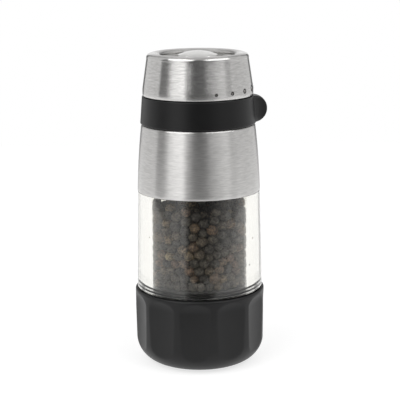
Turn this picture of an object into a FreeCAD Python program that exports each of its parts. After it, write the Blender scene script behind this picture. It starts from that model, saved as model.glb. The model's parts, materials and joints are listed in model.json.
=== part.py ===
import FreeCAD, Part
import math
import os
import re

import Sketcher

# A hand pepper mill that grinds at its top end.  The frame's origin is the middle of the underside, +Z is
# up.  The fluted base is the turning knob: it carries a square shaft round inside the clear jar, and the
# shaft turns the ceramic burr in the head.  Ground pepper leaves through the trough round the steel dome,
# with the mill held upside down.  The black ring with the round tab sets how coarse it grinds, against five
# dots on the cap.

SIZES = {
    # Base: soft grip sleeve over a rigid core, closed from below
    "foot_r": 18.9,  # flat underside
    "sole_round": 12.3,  # rounding between the underside and the side
    "grip_r": 31.45,
    "grip_waist_z": 26.0,
    "base_top_z": 37.0,
    "lip_round": 1.1,
    "lip_in_r": 29.9,
    "deck_z": 36.2,  # where the glide ring lies
    "sleeve_wall": 3.0,
    "core_wall": 2.2,
    "sole_hole_r": 16.1,
    "pad_top_z": 1.4,
    "flute_count": 11,
    "flute_depth": 1.4,
    "flute_cut_r": 60.0,
    "flute_end_r": 8.0,
    "flute_top_z": 35.3,
    "flute_angle": 1.5,  # azimuth of one flute
    "spigot_r": 22.9,
    "spigot_z": 37.3,
    "spigot_neck_r": 22.05,
    "chamber_floor_z": 39.8,
    "seal_z": 38.35,
    "seal_groove": 0.65,  # half height of the groove
    "seal_groove_r": 22.0,
    "seal_wire_r": 0.6,
    "hub_r": 7.0,
    "hub_low_z": 22.0,
    "hub_flange_r": 11.5,
    "hub_flange_z": 32.2,
    "hub_flange_thick": 3.0,
    "hub_screw_ring": 9.3,
    "hub_socket_mouth_r": 5.4,
    "socket_flat": 6.3,
    "socket_low_z": 26.0,
    # Jar
    "jar_low_z": 37.3,
    "jar_low_r": 30.5,
    "jar_high_r": 29.5,
    "jar_bore": 23.3,
    "jar_shoulder_z": 85.0,
    "jar_neck_r": 26.85,
    "jar_top_z": 96.0,
    # Head frame, skirt and bearing
    "skirt_low_z": 85.0,
    "skirt_low_r": 29.6,
    "skirt_top_z": 117.2,
    "skirt_top_r": 27.4,
    "skirt_bulge_r": 350.0,
    "skirt_bend": 1.1,  # rounding of its top edge
    "sheet": 0.5,  # thickness of the steel skirt
    "plate_low_z": 96.8,
    "plate_top_z": 99.0,
    "ledge_z": 101.0,
    "bush_r": 6.15,
    "bush_flange_r": 7.4,
    "bearing_hub_r": 8.2,
    "throat_r": 18.6,
    "tube_in_r": 20.9,
    "tube_out_r": 22.95,
    "tube_top_z": 131.2,
    "flange_z": 128.4,
    "flange_in_r": 17.0,
    "cap_screw_ring": 19.6,
    "click_z": 119.0,
    "leaf_r": 22.1,  # bend of the click spring's leaf
    # Grind setting ring
    "ring_low_z": 117.45,
    "ring_high_z": 130.6,
    "ring_low_r": 27.75,
    "ring_high_r": 26.75,
    "ring_bore": 23.1,
    "tab_r": 6.35,
    "tab_tip": 33.1,
    "tab_root": 4.6,  # half thickness at the root
    "tab_edge": 1.5,  # half thickness at the tip
    "cam_z": 122.6,
    "cam_rise": 1.2,
    "cam_sweep": 74.0,
    "cam_depth_r": 24.75,
    "cam_margin": 4.5,  # extra turn at each end of a cam groove
    "pin_r": 1.5,
    "pin_play": 0.1,
    # Burrs and their carrier
    "carrier_r": 20.7,
    "carrier_in_r": 18.5,
    "carrier_low_z": 105.0,
    "carrier_high_z": 125.5,
    "burr_low_z": 106.5,
    "burr_high_z": 122.5,
    "band_z": 117.5,  # start of the fine grinding band
    "band_in_r": 12.75,
    "band_slope": 0.5,  # radius gained per millimetre of height along the band
    "coarse_gap": 0.9,
    "burr_exit_r": 15.9,
    # Rotor
    "shaft_flat": 6.0,
    "shaft_low_z": 28.0,
    "shaft_step_z": 122.5,
    "shaft_high_z": 145.0,
    "thread_r": 2.4,
    "bush_bore": 5.25,
    "auger_r": 5.2,
    "auger_low_z": 94.9,
    "clip_z": 94.4,
    "clip_in_r": 2.4,
    "stem_r": 5.4,
    "stem_flare_r": 9.0,
    "stem_flare_z": 146.4,
    "dome_r": 9.8,
    "dome_edge_z": 149.4,
    "dome_top_z": 151.9,
    # Cap
    "cap_low_z": 131.0,
    "cap_low_r": 26.5,
    "cap_bend_z": 134.0,
    "cap_high_z": 147.4,
    "cap_high_r": 24.9,
    "crest_z": 151.0,
    "crest_r": 21.6,
    "mouth_r": 18.1,
    "cap_sheet": 0.6,
    "core_in_r": 21.9,
    "core_floor_z": 134.4,
    "dish_low_r": 13.4,
    "dish_low_z": 138.6,
    "dish_bend_z": 146.6,
    "dish_rim_r": 22.3,
    "dish_rim_z": 149.0,
    "dish_sheet": 0.4,
    "dot_pitch": 18.5,
    "dot_low_z": 132.9,
    "dot_depth": 0.3,
}

doc = FreeCAD.newDocument("pepper_mill")
sheet = doc.addObject("Spreadsheet::Sheet", "Sizes")
for row, (alias, value) in enumerate(SIZES.items(), start=1):
    sheet.set(f"A{row}", alias)
    sheet.set(f"B{row}", str(value))
    sheet.setAlias(f"B{row}", alias)
doc.recompute()

NODES = []


def bound(text):
    """The expression with every size's name pointed at the spreadsheet."""
    return re.sub(r"[a-z][a-z_]+", lambda m: f"Sizes.{m[0]}" if m[0] in SIZES else m[0], str(text))


def number(text):
    return float(sheet.evalExpression(bound(text)))


def drive(thing, path, text):
    thing.setExpression(path, bound(text))


def body(label, azimuth=0):
    made = doc.addObject("PartDesign::Body", label)
    made.Label = label
    made.Placement = FreeCAD.Placement(FreeCAD.Vector(), FreeCAD.Rotation(FreeCAD.Vector(0, 0, 1), azimuth))
    return made


def keep(piece):
    """Lists a finished sub-part for writing."""
    NODES.append(piece)
    return piece


def origin_part(owner, role):
    return next(f for f in owner.Origin.OriginFeatures if f.Role == role)


def sketch_on(owner, name, role="XZ_Plane", offset="0", swing=0):
    """A sketch on one of the body's own origin planes, moved along the plane's normal.  An upright one can
    also be swung about Z, by degrees."""
    sketch = owner.newObject("Sketcher::SketchObject", name)
    sketch.AttachmentSupport = [(origin_part(owner, role), "")]
    sketch.MapMode = "FlatFace"
    if swing:
        upright = FreeCAD.Vector(0, 1, 0)
        sketch.AttachmentOffset = FreeCAD.Placement(FreeCAD.Vector(), FreeCAD.Rotation(upright, swing))
    drive(sketch, "AttachmentOffset.Base.z", offset)
    return sketch


def arc_between(start, end, radius):
    """The short arc of this radius; a positive one turns left on the way from start to end."""
    across = end - start
    middle = (start + end) * 0.5
    left = FreeCAD.Vector(-across.y, across.x, 0).normalize()
    height = math.sqrt(max(radius * radius - across.Length**2 / 4, 0))
    centre = middle + left * math.copysign(height, radius)
    first, last = (start, end) if radius > 0 else (end, start)
    angles = [math.atan2((p - centre).y, (p - centre).x) for p in (first, last)]
    circle = Part.Circle(centre, FreeCAD.Vector(0, 0, 1), abs(radius))
    return Part.ArcOfCircle(circle, angles[0], angles[1])


def outline(sketch, corners):
    """A closed outline.  A corner is (across, up) or (across, up, radius), where the radius bends the edge
    that leaves it; every number is an expression of the sizes."""
    places = [FreeCAD.Vector(number(c[0]), number(c[1]), 0) for c in corners]
    ends = []
    for at, corner in enumerate(corners):
        start = places[at]
        end = places[(at + 1) % len(corners)]
        radius = number(corner[2]) if len(corner) > 2 else 0
        edge = arc_between(start, end, radius) if radius else Part.LineSegment(start, end)
        index = sketch.addGeometry(edge, False)
        ends.append((index, 2, 1) if radius < 0 else (index, 1, 2))
        if radius:
            pin = sketch.addConstraint(Sketcher.Constraint("Radius", index, abs(radius)))
            drive(sketch, f"Constraints[{pin}]", f"abs({corner[2]})")
    for at, corner in enumerate(corners):
        index, start_point, _ = ends[at]
        before, _, before_end = ends[at - 1]
        sketch.addConstraint(Sketcher.Constraint("Coincident", before, before_end, index, start_point))
        for kind, text, value in (
            ("DistanceX", corner[0], places[at].x),
            ("DistanceY", corner[1], places[at].y),
        ):
            pin = sketch.addConstraint(Sketcher.Constraint(kind, -1, 1, index, start_point, value))
            drive(sketch, f"Constraints[{pin}]", text)


def circle(sketch, across, up, radius):
    centre = FreeCAD.Vector(number(across), number(up), 0)
    round_edge = Part.Circle(centre, FreeCAD.Vector(0, 0, 1), number(radius))
    index = sketch.addGeometry(round_edge, False)
    for kind, text, value in (("DistanceX", across, centre.x), ("DistanceY", up, centre.y)):
        pin = sketch.addConstraint(Sketcher.Constraint(kind, -1, 1, index, 3, value))
        drive(sketch, f"Constraints[{pin}]", text)
    pin = sketch.addConstraint(Sketcher.Constraint("Radius", index, number(radius)))
    drive(sketch, f"Constraints[{pin}]", radius)


def box_outline(sketch, low_across, low_up, high_across, high_up):
    outline(
        sketch,
        [(low_across, low_up), (high_across, low_up), (high_across, high_up), (low_across, high_up)],
    )


def turn(owner, name, corners, kind="PartDesign::Revolution"):
    """Spins an outline (radius, height) about Z, to add it or, as a Groove, to cut it."""
    sketch = sketch_on(owner, f"{name}_outline")
    outline(sketch, corners)
    return spin(owner, name, sketch, kind=kind)


def spin(owner, name, sketch, angle=360, midplane=False, kind="PartDesign::Revolution"):
    feature = owner.newObject(kind, name)
    feature.Profile = sketch
    feature.ReferenceAxis = (sketch, ["V_Axis"])
    feature.Angle = angle
    feature.Midplane = midplane
    return finish_feature(owner, feature)


def turned(label, corners, azimuth=0):
    made = body(label, azimuth)
    turn(made, f"{label}_turned", corners)
    return made


def finish_feature(owner, feature):
    owner.Tip = feature
    doc.recompute()
    return feature


def push(owner, kind, sketch, name, length, reverse=False, midplane=False):
    """Pads or pockets a sketch and, for a pocket, makes sure that it cut something."""
    before = owner.Shape.Volume if owner.Tip else 0
    feature = owner.newObject(f"PartDesign::{kind}", name)
    feature.Profile = sketch
    drive(feature, "Length", length)
    feature.Reversed = reverse
    feature.Midplane = midplane
    finish_feature(owner, feature)
    if kind == "Pocket" and owner.Shape.Volume >= before - 1e-3:
        raise RuntimeError(f"{name} cuts nothing")
    return feature


def repeat(owner, feature, count):
    """Repeats a feature evenly round Z."""
    pattern = owner.newObject("PartDesign::PolarPattern", f"{feature.Name}_round")
    pattern.Originals = [feature]
    pattern.Axis = (origin_part(owner, "Z_Axis"), [""])
    pattern.Angle = 360
    drive(pattern, "Occurrences", count)
    before = owner.Shape.Volume
    finish_feature(owner, pattern)
    if abs(owner.Shape.Volume - before) < 1e-3:
        raise RuntimeError(f"{feature.Name} isn't repeated")
    return pattern


def hole(owner, name, across, radius, low, length, count="1"):
    """Upright round holes from height low, on a circle about Z."""
    sketch = sketch_on(owner, f"{name}_outline", "XY_Plane", low)
    circle(sketch, across, "0", radius)
    feature = push(owner, "Pocket", sketch, name, length, reverse=True)
    if number(count) > 1:
        repeat(owner, feature, count)


def square_hole(owner, name, flat, low, length):
    sketch = sketch_on(owner, f"{name}_outline", "XY_Plane", low)
    box_outline(sketch, f"-({flat})/2", f"-({flat})/2", f"({flat})/2", f"({flat})/2")
    push(owner, "Pocket", sketch, name, length, reverse=True)


def screws(label, ring_radius, under_head_z, shank_r, shank_length, head_r, head_height, upwards, azimuth=0):
    """Three pan-head screws with cross recesses, as three solids in one sub-part."""
    sign = "" if upwards else "-"
    spun = body(f"{label}_one")
    sketch = sketch_on(spun, f"{label}_outline")
    point = f"{under_head_z} + {sign}1 * ({shank_length})"
    outline(
        sketch,
        [
            ("0", f"{under_head_z} - {sign}1 * ({head_height})"),
            (f"{head_r} - 0.5", f"{under_head_z} - {sign}1 * ({head_height})"),
            (head_r, f"{under_head_z} - {sign}1 * ({head_height} - 0.6)"),
            (head_r, under_head_z),
            (shank_r, under_head_z),
            (shank_r, f"{point} - {sign}1 * 0.8"),
            ("0", point),
        ],
    )
    spin(spun, f"{label}_turned", sketch)
    head_z = f"{under_head_z} - {sign}1 * ({head_height})"
    for bar, (wide, deep) in enumerate((("0.3", "1.3"), ("1.3", "0.3"))):
        cross = sketch_on(spun, f"{label}_cross_{bar}", "XY_Plane", head_z)
        box_outline(cross, f"-{wide}", f"-{deep}", wide, deep)
        push(spun, "Pocket", cross, f"{label}_slot_{bar}", "0.8", reverse=upwards)
    copies = []
    for turn_number in range(3):
        angle = math.radians(azimuth + 120 * turn_number)
        reach = number(ring_radius)
        copy = spun.Shape.copy()
        copy.translate(FreeCAD.Vector(reach * math.cos(angle), reach * math.sin(angle), 0))
        copies.append(copy)
    group = doc.addObject("Part::Feature", label)
    group.Label = label
    group.Shape = Part.makeCompound(copies)
    group.Placement = FreeCAD.Placement()
    return keep(group)


def coil(label, coil_radius, wire_radius, low_z, high_z, turns):
    """A round-wire spring."""
    made = body(label)
    sketch = sketch_on(made, f"{label}_wire")
    circle(sketch, coil_radius, f"{low_z} + {wire_radius} + 0.05", wire_radius)
    feature = made.newObject("PartDesign::AdditiveHelix", f"{label}_helix")
    feature.Profile = sketch
    feature.ReferenceAxis = (sketch, ["V_Axis"])
    feature.Mode = "height-turns-angle"
    drive(feature, "Height", f"{high_z} - ({low_z}) - 2 * {wire_radius} - 0.1")
    feature.Turns = turns
    finish_feature(made, feature)
    return keep(made)


# ---------------------------------------------------------------- base


def make_grip_sleeve():
    core_r = "foot_r + sole_round - sleeve_wall"
    made = turned(
        "grip_sleeve",
        [
            ("sole_hole_r", "0"),
            ("foot_r", "0", "sole_round"),
            ("foot_r + sole_round", "sole_round"),
            ("grip_r", "grip_waist_z"),
            ("grip_r", "base_top_z - lip_round", "lip_round"),
            ("grip_r - lip_round", "base_top_z"),
            ("lip_in_r", "base_top_z"),
            ("lip_in_r", "deck_z"),
            (core_r, "deck_z"),
            (core_r, "sole_round", "-(sole_round - sleeve_wall)"),
            ("foot_r", "sleeve_wall"),
            ("sole_hole_r", "sleeve_wall"),
        ],
        azimuth=number("flute_angle"),
    )
    # Each flute is the bite of a large upright round with a domed top, so that it ends in an arch.
    near = "grip_r - flute_depth"
    axis = "grip_r - flute_depth + flute_cut_r"
    arch_z = "flute_top_z - sqrt(flute_end_r^2 - (flute_end_r - flute_depth)^2)"
    sketch = sketch_on(made, "flute_outline")
    outline(
        sketch,
        [
            (near, "-1"),
            (axis, "-1"),
            (axis, f"{arch_z} + flute_end_r"),
            (f"{near} + flute_end_r", f"{arch_z} + flute_end_r", "flute_end_r"),
            (near, arch_z),
        ],
    )
    before = made.Shape.Volume
    groove = made.newObject("PartDesign::Groove", "flute")
    groove.Profile = sketch
    axis_line = sketch.addGeometry(
        Part.LineSegment(FreeCAD.Vector(number(axis), 0, 0), FreeCAD.Vector(number(axis), 10, 0)), True
    )
    for end, up in ((1, 0), (2, 10)):
        pin = sketch.addConstraint(Sketcher.Constraint("DistanceX", -1, 1, axis_line, end, number(axis)))
        drive(sketch, f"Constraints[{pin}]", axis)
        sketch.addConstraint(Sketcher.Constraint("DistanceY", -1, 1, axis_line, end, up))
    groove.ReferenceAxis = (sketch, ["Axis0"])
    groove.Angle = 360
    finish_feature(made, groove)
    if made.Shape.Volume >= before - 1:
        raise RuntimeError("the flute cuts nothing")
    repeat(made, groove, "flute_count")
    keep(made)


def make_base_core():
    core_r = "foot_r + sole_round - sleeve_wall"
    inner_r = f"{core_r} - core_wall"
    made = turned(
        "base_core",
        [
            ("sole_hole_r + 0.2", "sleeve_wall"),
            ("foot_r", "sleeve_wall", "sole_round - sleeve_wall"),
            (core_r, "sole_round"),
            (core_r, "deck_z"),
            ("spigot_neck_r", "deck_z"),
            ("spigot_neck_r", "spigot_z"),
            ("spigot_r", "spigot_z"),
            ("spigot_r", "seal_z - seal_groove"),
            ("seal_groove_r", "seal_z - seal_groove"),
            ("seal_groove_r", "seal_z + seal_groove"),
            ("spigot_r", "seal_z + seal_groove"),
            ("spigot_r", "chamber_floor_z - 0.5"),
            ("spigot_r - 0.5", "chamber_floor_z"),
            ("hub_r + 0.1", "chamber_floor_z"),
            ("hub_r + 0.1", "hub_flange_z + hub_flange_thick"),
            ("19", "hub_flange_z + hub_flange_thick"),
            ("19", "deck_z - core_wall"),
            (inner_r, "deck_z - core_wall"),
            (inner_r, "sole_round", "-(sole_round - sleeve_wall - core_wall)"),
            ("foot_r", "sleeve_wall + core_wall"),
            ("sole_hole_r + 0.2", "sleeve_wall + core_wall"),
        ],
    )
    ribs = sketch_on(made, "rib_outline", "XY_Plane", "20")
    box_outline(ribs, "hub_flange_r + 1", "-0.8", f"{inner_r} + 0.5", "0.8")
    repeat(made, push(made, "Pad", ribs, "rib", "hub_flange_z + hub_flange_thick + 0.2 - 20"), "6")
    hole(made, "hub_screw_hole", "hub_screw_ring", "1.3", "hub_flange_z + hub_flange_thick - 0.1", "4.6", "3")
    keep(made)


def make_floor_plate():
    made = turned(
        "floor_plate",
        [
            ("0", "pad_top_z"),
            ("sole_hole_r - 0.1", "pad_top_z"),
            ("sole_hole_r - 0.1", "5.3"),
            ("sole_hole_r + 0.5", "5.3"),
            ("sole_hole_r + 0.2", "6.4"),
            ("sole_hole_r - 1.6", "6.4"),
            ("sole_hole_r - 1.6", "3.2"),
            ("0", "3.2"),
        ],
    )
    slot = sketch_on(made, "snap_slot_outline", "XY_Plane", "3.4")
    box_outline(slot, "sole_hole_r - 2", "-1.2", "sole_hole_r + 2", "1.2")
    repeat(made, push(made, "Pocket", slot, "snap_slot", "4", reverse=True), "6")
    keep(made)


def make_foot_pad():
    made = turned(
        "foot_pad",
        [
            ("0", "0"),
            ("sole_hole_r - 0.6", "0"),
            ("sole_hole_r - 0.2", "0.4"),
            ("sole_hole_r - 0.2", "pad_top_z"),
            ("0", "pad_top_z"),
        ],
    )
    for groove_number, radius in enumerate((5.0, 8.5, 12.0)):
        turn(
            made,
            f"pad_groove_{groove_number}",
            [(radius, "-0.1"), (radius + 0.9, "-0.1"), (radius + 0.9, "0.4"), (radius, "0.4")],
            "PartDesign::Groove",
        )
    keep(made)


def make_drive_hub():
    flange_top = "hub_flange_z + hub_flange_thick"
    made = turned(
        "drive_hub",
        [
            ("0", "hub_low_z"),
            ("hub_r", "hub_low_z"),
            ("hub_r", "hub_flange_z"),
            ("hub_flange_r", "hub_flange_z"),
            ("hub_flange_r", flange_top),
            ("hub_r", flange_top),
            ("hub_r", "chamber_floor_z - 0.1"),
            ("0", "chamber_floor_z - 0.1"),
        ],
    )
    square_hole(made, "drive_socket", "socket_flat", "socket_low_z", "chamber_floor_z - socket_low_z")
    turn(
        made,
        "socket_mouth",
        [
            ("0", "chamber_floor_z - 2.6"),
            ("socket_flat / 2", "chamber_floor_z - 2.6"),
            ("hub_socket_mouth_r", "chamber_floor_z"),
            ("0", "chamber_floor_z"),
        ],
        "PartDesign::Groove",
    )
    hole(made, "flange_hole", "hub_screw_ring", "1.5", "hub_flange_z - 0.1", "hub_flange_thick + 0.2", "3")
    keep(made)


def make_base_seal():
    made = body("base_seal")
    sketch = sketch_on(made, "base_seal_section")
    circle(sketch, "jar_bore - 0.05 - seal_wire_r", "seal_z", "seal_wire_r")
    spin(made, "base_seal_turned", sketch)
    keep(made)


def make_glide_ring():
    made = turned(
        "glide_ring",
        [
            ("spigot_neck_r + 0.1", "deck_z + 0.08"),
            ("lip_in_r - 0.25", "deck_z + 0.08"),
            ("lip_in_r - 0.25", "spigot_z - 0.3"),
            ("lip_in_r - 0.5", "spigot_z - 0.08"),
            ("spigot_neck_r + 0.1", "spigot_z - 0.08"),
        ],
    )
    keep(made)


# ---------------------------------------------------------------- jar and head


def make_pepper_jar():
    keep(
        turned(
            "pepper_jar",
            [
                ("jar_bore + 0.4", "jar_low_z"),
                ("jar_low_r - 0.5", "jar_low_z"),
                ("jar_low_r", "jar_low_z + 0.5"),
                ("jar_high_r", "jar_shoulder_z"),
                ("jar_neck_r", "jar_shoulder_z"),
                ("jar_neck_r", "jar_top_z - 0.4"),
                ("jar_neck_r - 0.4", "jar_top_z"),
                ("jar_bore", "jar_top_z"),
                ("jar_bore", "jar_low_z + 0.4"),
            ],
        )
    )


def make_jar_gasket():
    keep(
        turned(
            "jar_gasket",
            [
                ("jar_bore + 0.4", "jar_top_z"),
                ("jar_neck_r - 0.4", "jar_top_z"),
                ("jar_neck_r - 0.4", "plate_low_z"),
                ("jar_bore + 0.4", "plate_low_z"),
            ],
        )
    )


def make_steel_skirt():
    keep(
        turned(
            "steel_skirt",
            [
                ("skirt_low_r - sheet", "skirt_low_z + 0.05"),
                ("skirt_low_r", "skirt_low_z + 0.05", "skirt_bulge_r"),
                ("skirt_top_r", "skirt_top_z - skirt_bend", "skirt_bend"),
                ("skirt_top_r - skirt_bend", "skirt_top_z"),
                ("25.4", "skirt_top_z"),
                ("25.4", "skirt_top_z - sheet"),
                ("skirt_top_r - sheet", "skirt_top_z - sheet", "-(skirt_bulge_r - sheet)"),
            ],
        )
    )


def make_head_frame():
    deck = "skirt_top_z - sheet"
    made = turned(
        "head_frame",
        [
            ("tube_in_r", "plate_top_z"),
            ("tube_out_r", "plate_top_z"),
            ("tube_out_r", f"{deck} - 2.2"),
            ("25.8", f"{deck} - 2.2"),
            ("jar_neck_r + 0.15", "plate_top_z + 0.5"),
            ("jar_neck_r + 0.15", "skirt_low_z + 0.4"),
            ("skirt_low_r - sheet - 0.05", "skirt_low_z + 0.4", "skirt_bulge_r - sheet"),
            ("skirt_top_r - sheet - 0.05", deck),
            ("tube_out_r", deck),
            ("tube_out_r", "tube_top_z"),
            ("flange_in_r", "tube_top_z"),
            ("flange_in_r", "flange_z"),
            ("tube_in_r", "flange_z"),
        ],
    )
    slot = sketch_on(made, "pin_slot_outline", "XY_Plane", "cam_z - pin_r - pin_play")
    half = "pin_r + pin_play"
    box_outline(slot, "tube_in_r - 1", f"-({half})", "tube_out_r + 1", half)
    tall = "2 * pin_r + 2 * pin_play + cam_rise"
    repeat(made, push(made, "Pocket", slot, "pin_slot", tall, reverse=True), "3")
    hole(made, "cap_screw_hole", "cap_screw_ring", "1.3", "tube_top_z - 2.4", "3", "3")
    # A shallow seat in the tube's outer face for the click spring
    seat = turn(
        made,
        "click_seat",
        [
            ("leaf_r - 0.4", "click_z - 1.1"),
            ("tube_out_r + 0.2", "click_z - 1.1"),
            ("tube_out_r + 0.2", "click_z + 1.1"),
            ("leaf_r - 0.4", "click_z + 1.1"),
        ],
        "PartDesign::Groove",
    )
    seat.Angle = 30
    seat.Midplane = True
    doc.recompute()
    keep(made)


def make_bearing_plate():
    made = turned(
        "bearing_plate",
        [
            ("jar_bore", "plate_low_z"),
            ("jar_neck_r + 0.05", "plate_low_z"),
            ("jar_neck_r + 0.05", "plate_top_z"),
            ("tube_in_r - 0.1", "plate_top_z"),
            ("tube_in_r - 0.1", "ledge_z"),
            ("throat_r", "ledge_z"),
            ("throat_r", "ledge_z - 0.8"),
        ],
    )
    hub = sketch_on(made, "bearing_hub_outline", "XY_Plane", "plate_low_z + 0.6")
    circle(hub, "0", "0", "bearing_hub_r")
    circle(hub, "0", "0", "bush_r + 0.05")
    push(made, "Pad", hub, "bearing_hub", "3.6")
    arm = sketch_on(made, "arm_outline", "XY_Plane", "plate_top_z - 0.4")
    box_outline(arm, "bearing_hub_r - 1", "-1.2", "tube_in_r - 0.6", "1.2")
    repeat(made, push(made, "Pad", arm, "arm", "2"), "3")
    keep(made)


def make_shaft_bush():
    keep(
        turned(
            "shaft_bush",
            [
                ("bush_bore", "plate_low_z - 0.4"),
                ("bush_flange_r", "plate_low_z - 0.4"),
                ("bush_flange_r", "plate_low_z + 0.6"),
                ("bush_r", "plate_low_z + 0.6"),
                ("bush_r", "ledge_z + 0.4"),
                ("bush_bore", "ledge_z + 0.4"),
            ],
        )
    )


def make_click_spring():
    """A leaf bent to the tube, whose nose rides on the ring's bore."""
    made = body("click_spring")
    leaf = sketch_on(made, "leaf_outline")
    outline(
        leaf,
        [
            ("leaf_r", "click_z - 0.9"),
            ("leaf_r + 0.35", "click_z - 0.9"),
            ("leaf_r + 0.35", "click_z + 0.9"),
            ("leaf_r", "click_z + 0.9"),
        ],
    )
    spin(made, "leaf", leaf, angle=27, midplane=True)
    nose = sketch_on(made, "nose_outline", "XY_Plane", "click_z - 0.8")
    circle(nose, "ring_bore - 0.7", "0", "0.65")
    push(made, "Pad", nose, "nose", "1.6")
    keep(made)


def make_outlet_core():
    """Black moulding that fills the cap: it carries the steel cap and dish, and is screwed to the frame."""
    made = turned(
        "outlet_core",
        [
            ("flange_in_r", "tube_top_z"),
            ("cap_low_r - cap_sheet - 0.15", "tube_top_z"),
            ("cap_low_r - cap_sheet - 0.15", "cap_bend_z"),
            ("cap_high_r - cap_sheet - 0.15", "cap_high_z - 0.4"),
            ("core_in_r + 0.7", "dish_rim_z - dish_sheet"),
            ("core_in_r", "dish_rim_z - dish_sheet"),
            ("core_in_r", "core_floor_z"),
            ("flange_in_r", "core_floor_z"),
        ],
    )
    hole(made, "core_screw_hole", "cap_screw_ring", "1.5", "tube_top_z - 0.1", "4", "3")
    keep(made)


def make_outlet_dish():
    """Pressed steel funnel that makes the trough's outer wall."""
    keep(
        turned(
            "outlet_dish",
            [
                ("dish_low_r", "dish_low_z"),
                ("mouth_r", "dish_bend_z", "6"),
                ("mouth_r + 0.7", "dish_rim_z"),
                ("dish_rim_r", "dish_rim_z"),
                ("dish_rim_r", "dish_rim_z - dish_sheet"),
                ("mouth_r + 1.2", "dish_rim_z - dish_sheet", "-5.5"),
                ("mouth_r + 0.55", "dish_bend_z - 0.2"),
                ("dish_low_r + 0.6", "dish_low_z - 0.3"),
            ],
        )
    )


def make_steel_cap():
    rim_r = 3.5
    blank = turned(
        "steel_cap_blank",
        [
            ("cap_low_r - cap_sheet", "cap_low_z"),
            ("cap_low_r - 0.25", "cap_low_z"),
            ("cap_low_r", "cap_low_z + 0.25"),
            ("cap_low_r", "cap_bend_z"),
            ("cap_high_r", "cap_high_z", rim_r),
            ("crest_r", "crest_z", "6"),
            ("mouth_r", "crest_z - 1.3"),
            ("mouth_r", "crest_z - 2.0"),
            ("mouth_r + cap_sheet", "crest_z - 2.0"),
            ("mouth_r + cap_sheet", "crest_z - 1.65", "-5.4"),
            ("crest_r", "crest_z - cap_sheet", f"-({rim_r} - cap_sheet)"),
            ("cap_high_r - cap_sheet", "cap_high_z"),
            ("cap_low_r - cap_sheet", "cap_bend_z"),
        ],
    )
    # The dots are bites of a thin band on the cap's own outer line, taken by rods that point outwards.
    band = turned(
        "dot_band",
        [
            ("cap_low_r - dot_depth", "cap_low_z + 0.5"),
            ("cap_low_r", "cap_low_z + 0.5"),
            ("cap_low_r", "cap_bend_z"),
            ("cap_high_r", "cap_high_z"),
            ("cap_high_r - dot_depth", "cap_high_z"),
            ("cap_low_r - dot_depth", "cap_bend_z"),
        ],
    )
    rods = []
    for step, radius in enumerate((1.95, 1.6, 1.22, 0.92, 0.75)):
        rod = doc.addObject("Part::Cylinder", f"dot_rod_{step}")
        rod.Radius = radius
        rod.Height = 4
        azimuth = math.radians(-step * number("dot_pitch"))
        outward = FreeCAD.Vector(math.cos(azimuth), math.sin(azimuth), 0)
        foot = outward * (number("cap_low_r") - 2.5)
        foot.z = number("dot_low_z") + radius
        rod.Placement = FreeCAD.Placement(foot, FreeCAD.Rotation(FreeCAD.Vector(0, 0, 1), outward))
        rods.append(rod)
    fused = doc.addObject("Part::MultiFuse", "dot_rods")
    fused.Shapes = rods
    marks = doc.addObject("Part::Common", "coarseness_marks")
    marks.Base = band
    marks.Tool = fused
    marks.Label = "coarseness_marks"
    cap = doc.addObject("Part::Cut", "steel_cap")
    cap.Base = blank
    cap.Tool = marks
    cap.Label = "steel_cap"
    doc.recompute()
    keep(marks)
    keep(cap)


# ---------------------------------------------------------------- grind setting


def make_setting_tab():
    """The round ear that the thumb pushes: hollow-sided in plan, half a circle seen from the side."""
    made = body("setting_tab")
    root = "cam_depth_r + 0.6"
    middle = "(ring_low_z + ring_high_z) / 2"
    plan = sketch_on(made, "tab_plan", "XY_Plane", f"{middle} - tab_r - 0.1")
    outline(
        plan,
        [
            (root, "-tab_root - 1.2"),
            ("ring_high_r + 0.4", "-tab_root", "-14"),
            ("tab_tip - 0.6", "-tab_edge", "2.2"),
            ("tab_tip", "0", "2.2"),
            ("tab_tip - 0.6", "tab_edge", "-14"),
            ("ring_high_r + 0.4", "tab_root"),
            (root, "tab_root + 1.2"),
        ],
    )
    push(made, "Pad", plan, "tab", "2 * tab_r + 0.2")
    side = sketch_on(made, "tab_side")
    inside = "tab_tip - tab_r - tab_r * sin(20)"
    outline(
        side,
        [
            (inside, f"{middle} + tab_r * cos(20)", "-tab_r"),
            ("tab_tip", middle, "-tab_r"),
            (inside, f"{middle} - tab_r * cos(20)"),
            (inside, f"{middle} - tab_r - 2"),
            ("tab_tip + 2", f"{middle} - tab_r - 2"),
            ("tab_tip + 2", f"{middle} + tab_r + 2"),
            (inside, f"{middle} + tab_r + 2"),
        ],
    )
    push(made, "Pocket", side, "tab_rounding", "4 * tab_root", midplane=True)
    return made


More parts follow.
